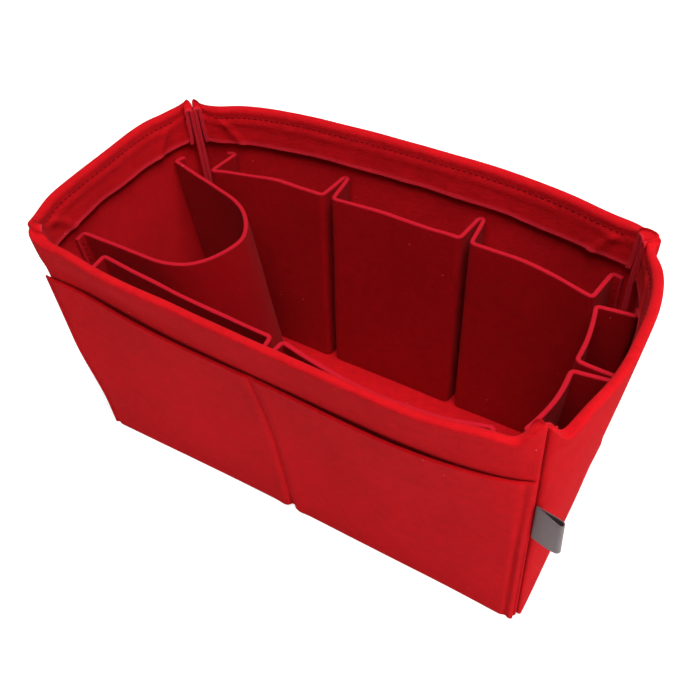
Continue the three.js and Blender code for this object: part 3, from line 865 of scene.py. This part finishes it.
def pocket_strip(name, wall, node, start, width_shares, sag_shares):
    """A row of pockets from one pleated strip, with the stitches that hold its two ends."""
    corners = pocket_corners(wall, start, width_shares, sag_shares)
    line = FoldedLine(in_short_steps(round_corners(corners), strip_step))

    def place(along, height, depth):
        return strip_place(wall, line, True, along, height, depth)

    strip = felt_piece(f"{name}_felt", strip_columns(line), strip_rows, pocket_felt, place, pocket_finish_with_painted_shade)
    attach(strip, "insert")
    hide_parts(node)
    sew_down(name, line, place)


pocket_strip("back_pockets", back_wall, "back_pocket_strip", start=0.021,
             width_shares=[0.27, 0.29, 0.257], sag_shares=[0.03, 0.02, 0.03])
pocket_strip("front_pockets", front_wall, "front_pocket_strip", start=0.017,
             width_shares=[0.423, 0.398], sag_shares=[0.02, 0.3])
pocket_strip("end_pockets", right_wall, "end_pocket_strip", start=0.020,
             width_shares=[0.322, 0.3], sag_shares=[0.02, 0.02])

# BOTTLE HOLDER
# One strip of the pocket felt that stands out from the left end wall as a soft loop. Its two ends are turned
# flat against the wall and sewn down.
holder_front = 0.0345  # from the front corner seam to where its front arm meets the wall
holder_back = 0.0185
holder_reach = 0.094  # from the wall to its nose
holder_flange = 0.007
holder_nose_side = 0.001
holder_front_share = 0.6  # of the reach, how far its front arm runs before it curves
holder_back_share = 0.62
holder_narrowing = 0.015  # how far its back arm leans in
holder_arm_handle_share = 0.6
holder_nose_handle_share = 0.5
holder_curve_steps = 20


def curve_points(a, b, c, d, steps):
    """Points along a smooth curve from a to d that leaves towards b and arrives from c."""
    points = []
    for i in range(1, steps + 1):
        share = i / steps
        ab, bc, cd = a.lerp(b, share), b.lerp(c, share), c.lerp(d, share)
        points.append(ab.lerp(bc, share).lerp(bc.lerp(cd, share), share))
    return points


def holder_line():
    nose = wall_felt + holder_reach
    front = holder_front - left_wall.half
    back = left_wall.half - holder_back
    front_end = Vector((front, nose * holder_front_share))
    back_end = Vector((back - holder_narrowing, nose * holder_back_share))
    tip = Vector((holder_nose_side, nose))
    front_handle = Vector((front_end.x, nose))
    back_slope = (back_end.x - back) / (back_end.y - on_wall)
    back_handle = Vector((back_end.x + back_slope * (nose - back_end.y), nose))
    arm = [Vector((front - holder_flange, on_wall)), Vector((front, on_wall)), front_end]
    points = round_corners(arm)
    points += curve_points(front_end, front_end.lerp(front_handle, holder_arm_handle_share),
                           tip.lerp(front_handle, holder_nose_handle_share), tip, holder_curve_steps)
    points += curve_points(tip, tip.lerp(back_handle, holder_nose_handle_share),
                           back_end.lerp(back_handle, holder_arm_handle_share), back_end, holder_curve_steps)
    arm = [back_end, Vector((back, on_wall)), Vector((back + holder_flange, on_wall))]
    return FoldedLine(in_short_steps(points + round_corners(arm)[1:], strip_step))


holder_path = holder_line()


def holder_place(along, height, depth):
    return strip_place(left_wall, holder_path, False, along, height, depth)


holder = felt_piece("bottle_holder_felt", strip_columns(holder_path), strip_rows, pocket_felt, holder_place,
                    pocket_finish_with_painted_shade)
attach(holder, "insert")
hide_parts("bottle_holder")
sew_down("bottle_holder", holder_path, holder_place)

# OUTER POCKETS
# A flat panel of felt on each long wall, sewn at its sides and foot and down one seam near the middle. Its
# cut mouth stands a little open on each side of that seam.
outer_left_inset = 0.001
outer_right_inset = 0.003
outer_top = 0.1365
outer_seam_share = 0.505
outer_spread = 0.001  # how far each side edge leans out at the mouth
outer_felt = 0.0021
outer_gap = 0.0005
outer_left_gape = 0.0013
outer_right_gape = 0.0012
outer_left_sag = 0.0026
outer_right_sag = -0.0008
outer_gape_power = 3
outer_step = 0.0026
outer_seam_groove = 0.0010
outer_seam_reach = 0.0016
outer_foot_groove = 1.2  # how much deeper it is drawn in at its foot
outer_foot_reach = 0.012
outer_pillow = 0.0005  # the felt's rise on each side of it
outer_pillow_place = 0.006
outer_pillow_reach = 0.004
outer_edge_pinch = 0.5
outer_edge_reach = 0.0022
outer_foot_edge = 0.001  # how much less the foot is pinched than a side edge
outer_side_seam = 0.0042  # from each side edge to the stitches that hold it
outer_pucker = 0.0026
outer_pucker_reach = 0.0035
outer_pucker_top = 0.015
outer_waves = 0.0006
outer_wave_start = 0.002  # from the edge
outer_wave_full = 0.02
outer_dip = 0.0009  # how much the mouth rises and falls
outer_dip_start = 0.11
outer_from = outer_left_inset - front_wall.half
outer_to = front_wall.half - outer_right_inset
outer_seam = outer_from + (outer_to - outer_from) * outer_seam_share


def bow(run):
    """The panel bows between its seams: how far out a run lies on its bow, and the bow's gape and sag."""
    if run < outer_seam:
        share = (run - outer_from - outer_side_seam) / (outer_seam - outer_from - outer_side_seam)
        widest, lowest = outer_left_gape, outer_left_sag
    else:
        share = (run - outer_seam) / (outer_to - outer_side_seam - outer_seam)
        widest, lowest = outer_right_gape, outer_right_sag
    return math.sin(math.pi * min(max(share, 0), 1)), widest, lowest


def outer_place(wall, run, height, depth):
    """Where a point of an outer pocket lies, pulled in along its seam and edges."""
    outer_face = depth / outer_felt
    from_side = min(run - outer_from, outer_to - run)
    edge = min(from_side, height + outer_foot_edge)
    pinch = outer_edge_pinch * (1 - smooth_step(edge, 0, outer_edge_reach)) * outer_felt
    deeper = 1 + outer_foot_groove * bump_at(height, 0, outer_foot_reach)
    seam = outer_seam_groove * bump_at(run, outer_seam, outer_seam_reach) * deeper
    seam += outer_seam_groove * bump_at(from_side, outer_side_seam, outer_seam_reach)
    pillow = outer_pillow * bump_at(abs(run - outer_seam), outer_pillow_place, outer_pillow_reach)
    soft = outer_waves * ripple(wall, run, lump=0.045, line=height)
    soft *= smooth_step(edge, outer_wave_start, outer_wave_full)
    rise = (max(height, 0) / outer_top) ** outer_gape_power
    swell, widest, lowest = bow(run)
    out = outer_gap + depth - outer_face * (pinch + seam - pillow) + widest * swell * rise + max(soft, 0)
    pucker = outer_pucker * bump_at(run, outer_seam, outer_pucker_reach)
    pucker *= 1 - smooth_step(height, 0, outer_pucker_top)
    dip = outer_dip * ripple(wall, run, lump=0.05, line=8.8) - lowest * swell
    dip *= smooth_step(height, outer_dip_start, outer_top)
    spread = outer_spread * rise * (run - outer_seam) / (outer_to - outer_seam)
    return beside(wall, run + spread, -out, height + pucker + dip)


outer_fine_step = 0.0008
outer_fine_reach = 0.008  # from an edge or a seam
outer_foot_rows = 0.010
outer_foot_step = 0.0014
outer_row_step = 0.0040
outer_mouth_step = 0.0025
outer_columns = stations(outer_from, (outer_from + cut_reach, cut_reach),
                         (outer_from + outer_fine_reach, outer_fine_step),
                         (outer_seam - outer_fine_reach, outer_step),
                         (outer_seam + outer_fine_reach, outer_fine_step),
                         (outer_to - outer_fine_reach, outer_step), (outer_to - cut_reach, outer_fine_step),
                         (outer_to, cut_reach))
outer_rows = stations(0, (cut_reach, cut_reach), (outer_foot_rows, outer_foot_step),
                      (outer_dip_start, outer_row_step), (outer_top - mouth_edge, outer_mouth_step),
                      (outer_top - cut_reach, mouth_edge_step), (outer_top, cut_reach))
for wall, node in ((front_wall, "front_outer_pocket"), (back_wall, "back_outer_pocket")):
    panel = felt_piece(f"{wall.name}_outer_pocket_felt", outer_columns, outer_rows, outer_felt,
                       lambda x, y, depth, wall=wall: outer_place(wall, x, y, depth), wall_finish,
                       cut_sides=())
    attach(panel, "insert")
    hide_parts(node)

# SIDE LABEL
# A short length of grey woven satin tape, folded in half. Its two ends are caught in the front right corner
# seam, and the loop stands out from the valley between the two knuckles. It is left bare.
label_tape = 0.0005
label_tape_round = 0.00015
label_length = 0.0158
label_height = 0.027
label_bottom = 0.086
label_swell = 0.0017  # half the width of the loop at its fold
label_root = 0.0011  # how far in from the corner it is sewn
label_turn = -0.22  # its rest, off the line of the front wall
label_curve = 0.0007
label_twist = 0.0020
label_lift = 0.0010
label_handle_share = 0.4
label_steps = 12
label_step = 0.0012
label_row_step = 0.0015
tape_colour = (0.084, 0.054, 0.058, 1)
weave_pitch = 0.00042
weave_relief = 0.00012
tape_finish, tape_tree, tape_surface = new_finish("grey_satin_tape")
tape_flat = tape_tree.nodes.new("ShaderNodeUVMap")
tape_flat.uv_map = "flat_cut"
tape_weave = None
for turn in (0.0, math.pi / 2):
    lie = set_inputs(tape_tree.nodes.new("ShaderNodeMapping"), Rotation=(0, 0, turn))
    tape_tree.links.new(tape_flat.outputs["UV"], lie.inputs["Vector"])
    threads = set_inputs(tape_tree.nodes.new("ShaderNodeTexWave"), Distortion=0.6, Detail=1,
                         Scale=1 / weave_pitch / (2 * math.pi) * 2)
    tape_tree.links.new(lie.outputs["Vector"], threads.inputs["Vector"])
    tape_weave = threads.outputs["Fac"] if tape_weave is None else add_math(
        tape_tree, "MULTIPLY", tape_weave, threads.outputs["Fac"])
tape_cloud = add_noise(tape_tree, tape_flat.outputs["UV"], scale=260, detail=3, roughness=0.6)
tape_light = add_math(tape_tree, "ADD", add_range(tape_tree, tape_weave, 0, 1, 0.82, 1.12),
                      add_range(tape_tree, tape_cloud, 0.3, 0.7, -0.06, 0.06))
tape_tint = add_mix(tape_tree, "MULTIPLY", 1.0, tape_colour, add_grey(tape_tree, tape_light))
tape_tree.links.new(tape_tint, tape_surface.inputs["Base Color"])
tape_relief = set_inputs(tape_tree.nodes.new("ShaderNodeBump"), Distance=weave_relief)
tape_tree.links.new(tape_weave, tape_relief.inputs["Height"])
tape_tree.links.new(tape_relief.outputs["Normal"], tape_surface.inputs["Normal"])
set_inputs(tape_surface, Roughness=0.48, Sheen_Weight=0.1)


def label_line():
    """The loop seen from above, from its root out to the fold and back."""
    bend = label_length - label_swell
    middle = label_swell - label_tape / 2
    root_half = label_tape / 2
    pull = bend * label_handle_share
    root = Vector((0, root_half))
    side = [root] + curve_points(root, Vector((pull, root_half)), Vector((bend - pull, middle)),
                                 Vector((bend, middle)), label_steps)
    for i in range(1, label_steps):
        turn = math.pi / 2 * i / label_steps
        side.append(Vector((bend + middle * math.sin(turn), middle * math.cos(turn))))
    tip = Vector((bend + middle, 0))
    back = [Vector((point.x, -point.y)) for point in reversed(side)]
    return FoldedLine(in_short_steps(side + [tip] + back, label_step))


label_path = label_line()
label_origin = Vector((box_length / 2 - label_root, -box_depth / 2 + label_root, label_bottom))
label_spin = Matrix.Rotation(label_turn, 3, "Z")


def label_place(along, height, depth):
    """Where a point of the tape lies: on its loop, curved, twisted a little and lifted at its fold."""
    point, side = label_path.at(along)
    point = point + side * (depth - label_tape / 2)
    outwards = (point.x / label_length) ** 2
    low = 1 - height / label_height
    sway = outwards * (label_curve - label_twist * low)
    lift = label_lift * low * outwards
    return pushed(label_origin + label_spin @ Vector((point.x, point.y - sway, height + lift)))


label = felt_piece("label_tape_loop", label_path.lengths, stations(0, (label_height, label_row_step)),
                   label_tape, label_place, tape_finish, edge_round=label_tape_round)
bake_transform(label)
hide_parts("side_label")
